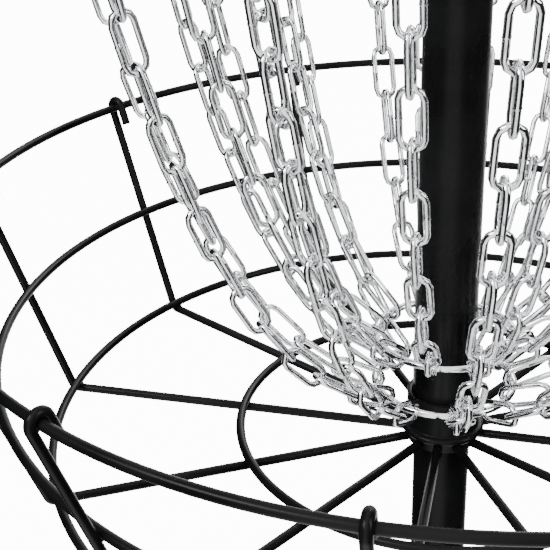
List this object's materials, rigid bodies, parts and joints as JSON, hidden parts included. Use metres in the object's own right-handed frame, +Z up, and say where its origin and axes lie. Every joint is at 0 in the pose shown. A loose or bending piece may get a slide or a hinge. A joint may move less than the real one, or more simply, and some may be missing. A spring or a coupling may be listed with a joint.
{
  "type": "disc golf basket",
  "caption": "portable disc golf basket: black wire tray with hooked ribs on a ring-based pole, and zinc chains hanging from a banded wire frame",
  "frame": {"origin": "centre of the base ring, on the ground", "axes": "+Z up along the pole; one tray rib points along -Y, the side the basket is seen from"},
  "size_m": [0.6742, 0.6742, 1.3483],
  "materials": {
    "black_coat": "satin",
    "chain_zinc": "polished",
    "knob_plastic": "matte",
    "rubber": "matte"
  },
  "bodies": {
    "base": {"base_ring": "black_coat", "base_spokes": "black_coat", "base_socket": "black_coat", "base_feet": "rubber"},
    "base_knob": {"base_knob": "knob_plastic"},
    "lower_pole": {"lower_pole": "black_coat", "tray_rest_pin": "black_coat"},
    "tray": {"tray_hub": "black_coat", "tray_ribs": "black_coat", "tray_rim": "black_coat", "tray_mid_ring": "black_coat", "tray_floor_ring": "black_coat", "tray_inner_ring": "black_coat", "tray_set_screws": "chain_zinc"},
    "upper_pole": {"upper_pole": "black_coat", "pole_cap": "rubber"},
    "hanger": {"hanger_hub": "black_coat", "hanger_ribs": "black_coat", "hanger_top_ring": "black_coat", "outer_hook_ring": "black_coat", "inner_hook_ring": "black_coat", "band_bottom_ring": "black_coat", "target_band": "black_coat", "band_rivets": "chain_zinc"},
    "hanger_knob": {"hanger_knob": "knob_plastic"},
    "outer_gather_ring": {"outer_gather_ring": "chain_zinc"},
    "inner_gather_ring": {"inner_gather_ring": "chain_zinc"},
    "outer_chain_1": {"outer_chain_1": "chain_zinc"},
    "outer_chain_2": {"outer_chain_2": "chain_zinc"},
    "outer_chain_3": {"outer_chain_3": "chain_zinc"},
    "outer_chain_4": {"outer_chain_4": "chain_zinc"},
    "outer_chain_5": {"outer_chain_5": "chain_zinc"},
    "outer_chain_6": {"outer_chain_6": "chain_zinc"},
    "outer_chain_7": {"outer_chain_7": "chain_zinc"},
    "outer_chain_8": {"outer_chain_8": "chain_zinc"},
    "outer_chain_9": {"outer_chain_9": "chain_zinc"},
    "outer_chain_10": {"outer_chain_10": "chain_zinc"},
    "outer_chain_11": {"outer_chain_11": "chain_zinc"},
    "outer_chain_12": {"outer_chain_12": "chain_zinc"},
    "inner_chain_1": {"inner_chain_1": "chain_zinc"},
    "inner_chain_2": {"inner_chain_2": "chain_zinc"},
    "inner_chain_3": {"inner_chain_3": "chain_zinc"},
    "inner_chain_4": {"inner_chain_4": "chain_zinc"},
    "inner_chain_5": {"inner_chain_5": "chain_zinc"},
    "inner_chain_6": {"inner_chain_6": "chain_zinc"},
    "inner_chain_7": {"inner_chain_7": "chain_zinc"},
    "inner_chain_8": {"inner_chain_8": "chain_zinc"},
    "inner_chain_9": {"inner_chain_9": "chain_zinc"},
    "inner_chain_10": {"inner_chain_10": "chain_zinc"},
    "inner_chain_11": {"inner_chain_11": "chain_zinc"},
    "inner_chain_12": {"inner_chain_12": "chain_zinc"}
  },
  "joints": [
    {"name": "base_knob_turn", "type": "hinge", "parent": "base", "child": "base_knob", "pos_m": [0.02751, -0.02751, 0.083], "axis": [0.7071, -0.7071, 0], "continuous": true},
    {"name": "lower_pole_lift", "type": "slide", "parent": "base", "child": "lower_pole", "axis": [0, 0, 1], "range_m": [0, 0.09]},
    {"name": "tray_lift", "type": "slide", "parent": "lower_pole", "child": "tray", "axis": [0, 0, 1], "range_m": [0, 0.09]},
    {"name": "upper_pole_lift", "type": "slide", "parent": "tray", "child": "upper_pole", "axis": [0, 0, 1], "range_m": [0, 0.04]},
    {"name": "hanger_lift", "type": "slide", "parent": "upper_pole", "child": "hanger", "axis": [0, 0, 1], "range_m": [0, 0.09]},
    {"name": "hanger_knob_turn", "type": "hinge", "parent": "hanger", "child": "hanger_knob", "pos_m": [0, 0.0405, 1.274], "axis": [0, 1, 0], "continuous": true},
    {"name": "outer_gather_turn", "type": "hinge", "parent": "hanger", "child": "outer_gather_ring", "pos_m": [0, 0, 0.554], "axis": [0, 0, 1], "continuous": true},
    {"name": "inner_gather_turn", "type": "hinge", "parent": "hanger", "child": "inner_gather_ring", "pos_m": [0, 0, 0.589], "axis": [0, 0, 1], "continuous": true},
    {"name": "outer_chain_1_swing", "type": "hinge", "parent": "hanger", "child": "outer_chain_1", "pos_m": [0.05946, -0.27975, 1.26], "axis": [0.0669, -0.3148, 0.9468], "range_deg": [-15, 15]},
    {"name": "outer_chain_2_swing", "type": "hinge", "parent": "hanger", "child": "outer_chain_2", "pos_m": [0.19137, -0.21254, 1.26], "axis": [0.2154, -0.2392, 0.9468], "range_deg": [-15, 15]},
    {"name": "outer_chain_3_swing", "type": "hinge", "parent": "hanger", "child": "outer_chain_3", "pos_m": [0.272, -0.08838, 1.26], "axis": [0.3061, -0.0995, 0.9468], "range_deg": [-15, 15]},
    {"name": "outer_chain_4_swing", "type": "hinge", "parent": "hanger", "child": "outer_chain_4", "pos_m": [0.27975, 0.05946, 1.26], "axis": [0.3148, 0.0669, 0.9468], "range_deg": [-15, 15]},
    {"name": "outer_chain_5_swing", "type": "hinge", "parent": "hanger", "child": "outer_chain_5", "pos_m": [0.21254, 0.19137, 1.26], "axis": [0.2392, 0.2154, 0.9468], "range_deg": [-15, 15]},
    {"name": "outer_chain_6_swing", "type": "hinge", "parent": "hanger", "child": "outer_chain_6", "pos_m": [0.08838, 0.272, 1.26], "axis": [0.0995, 0.3061, 0.9468], "range_deg": [-15, 15]},
    {"name": "outer_chain_7_swing", "type": "hinge", "parent": "hanger", "child": "outer_chain_7", "pos_m": [-0.05946, 0.27975, 1.26], "axis": [-0.0669, 0.3148, 0.9468], "range_deg": [-15, 15]},
    {"name": "outer_chain_8_swing", "type": "hinge", "parent": "hanger", "child": "outer_chain_8", "pos_m": [-0.19137, 0.21254, 1.26], "axis": [-0.2154, 0.2392, 0.9468], "range_deg": [-15, 15]},
    {"name": "outer_chain_9_swing", "type": "hinge", "parent": "hanger", "child": "outer_chain_9", "pos_m": [-0.272, 0.08838, 1.26], "axis": [-0.3061, 0.0995, 0.9468], "range_deg": [-15, 15]},
    {"name": "outer_chain_10_swing", "type": "hinge", "parent": "hanger", "child": "outer_chain_10", "pos_m": [-0.27975, -0.05946, 1.26], "axis": [-0.3148, -0.0669, 0.9468], "range_deg": [-15, 15]},
    {"name": "outer_chain_11_swing", "type": "hinge", "parent": "hanger", "child": "outer_chain_11", "pos_m": [-0.21254, -0.19137, 1.26], "axis": [-0.2392, -0.2154, 0.9468], "range_deg": [-15, 15]},
    {"name": "outer_chain_12_swing", "type": "hinge", "parent": "hanger", "child": "outer_chain_12", "pos_m": [-0.08838, -0.272, 1.26], "axis": [-0.0995, -0.3061, 0.9468], "range_deg": [-15, 15]},
    {"name": "inner_chain_1_swing", "type": "hinge", "parent": "hanger", "child": "inner_chain_1", "pos_m": [-0.01141, -0.2177, 1.32505], "axis": [-0.0119, -0.2272, 0.9738], "range_deg": [-15, 15]},
    {"name": "inner_chain_2_swing", "type": "hinge", "parent": "hanger", "child": "inner_chain_2", "pos_m": [0.09897, -0.19424, 1.32505], "axis": [0.1033, -0.2027, 0.9738], "range_deg": [-15, 15]},
    {"name": "inner_chain_3_swing", "type": "hinge", "parent": "hanger", "child": "inner_chain_3", "pos_m": [0.18283, -0.11873, 1.32505], "axis": [0.1908, -0.1239, 0.9738], "range_deg": [-15, 15]},
    {"name": "inner_chain_4_swing", "type": "hinge", "parent": "hanger", "child": "inner_chain_4", "pos_m": [0.2177, -0.01141, 1.32505], "axis": [0.2272, -0.0119, 0.9738], "range_deg": [-15, 15]},
    {"name": "inner_chain_5_swing", "type": "hinge", "parent": "hanger", "child": "inner_chain_5", "pos_m": [0.19424, 0.09897, 1.32505], "axis": [0.2027, 0.1033, 0.9738], "range_deg": [-15, 15]},
    {"name": "inner_chain_6_swing", "type": "hinge", "parent": "hanger", "child": "inner_chain_6", "pos_m": [0.11873, 0.18283, 1.32505], "axis": [0.1239, 0.1908, 0.9738], "range_deg": [-15, 15]},
    {"name": "inner_chain_7_swing", "type": "hinge", "parent": "hanger", "child": "inner_chain_7", "pos_m": [0.01141, 0.2177, 1.32505], "axis": [0.0119, 0.2272, 0.9738], "range_deg": [-15, 15]},
    {"name": "inner_chain_8_swing", "type": "hinge", "parent": "hanger", "child": "inner_chain_8", "pos_m": [-0.09897, 0.19424, 1.32505], "axis": [-0.1033, 0.2027, 0.9738], "range_deg": [-15, 15]},
    {"name": "inner_chain_9_swing", "type": "hinge", "parent": "hanger", "child": "inner_chain_9", "pos_m": [-0.18283, 0.11873, 1.32505], "axis": [-0.1908, 0.1239, 0.9738], "range_deg": [-15, 15]},
    {"name": "inner_chain_10_swing", "type": "hinge", "parent": "hanger", "child": "inner_chain_10", "pos_m": [-0.2177, 0.01141, 1.32505], "axis": [-0.2272, 0.0119, 0.9738], "range_deg": [-15, 15]},
    {"name": "inner_chain_11_swing", "type": "hinge", "parent": "hanger", "child": "inner_chain_11", "pos_m": [-0.19424, -0.09897, 1.32505], "axis": [-0.2027, -0.1033, 0.9738], "range_deg": [-15, 15]},
    {"name": "inner_chain_12_swing", "type": "hinge", "parent": "hanger", "child": "inner_chain_12", "pos_m": [-0.11873, -0.18283, 1.32505], "axis": [-0.1239, -0.1908, 0.9738], "range_deg": [-15, 15]}
  ]
}
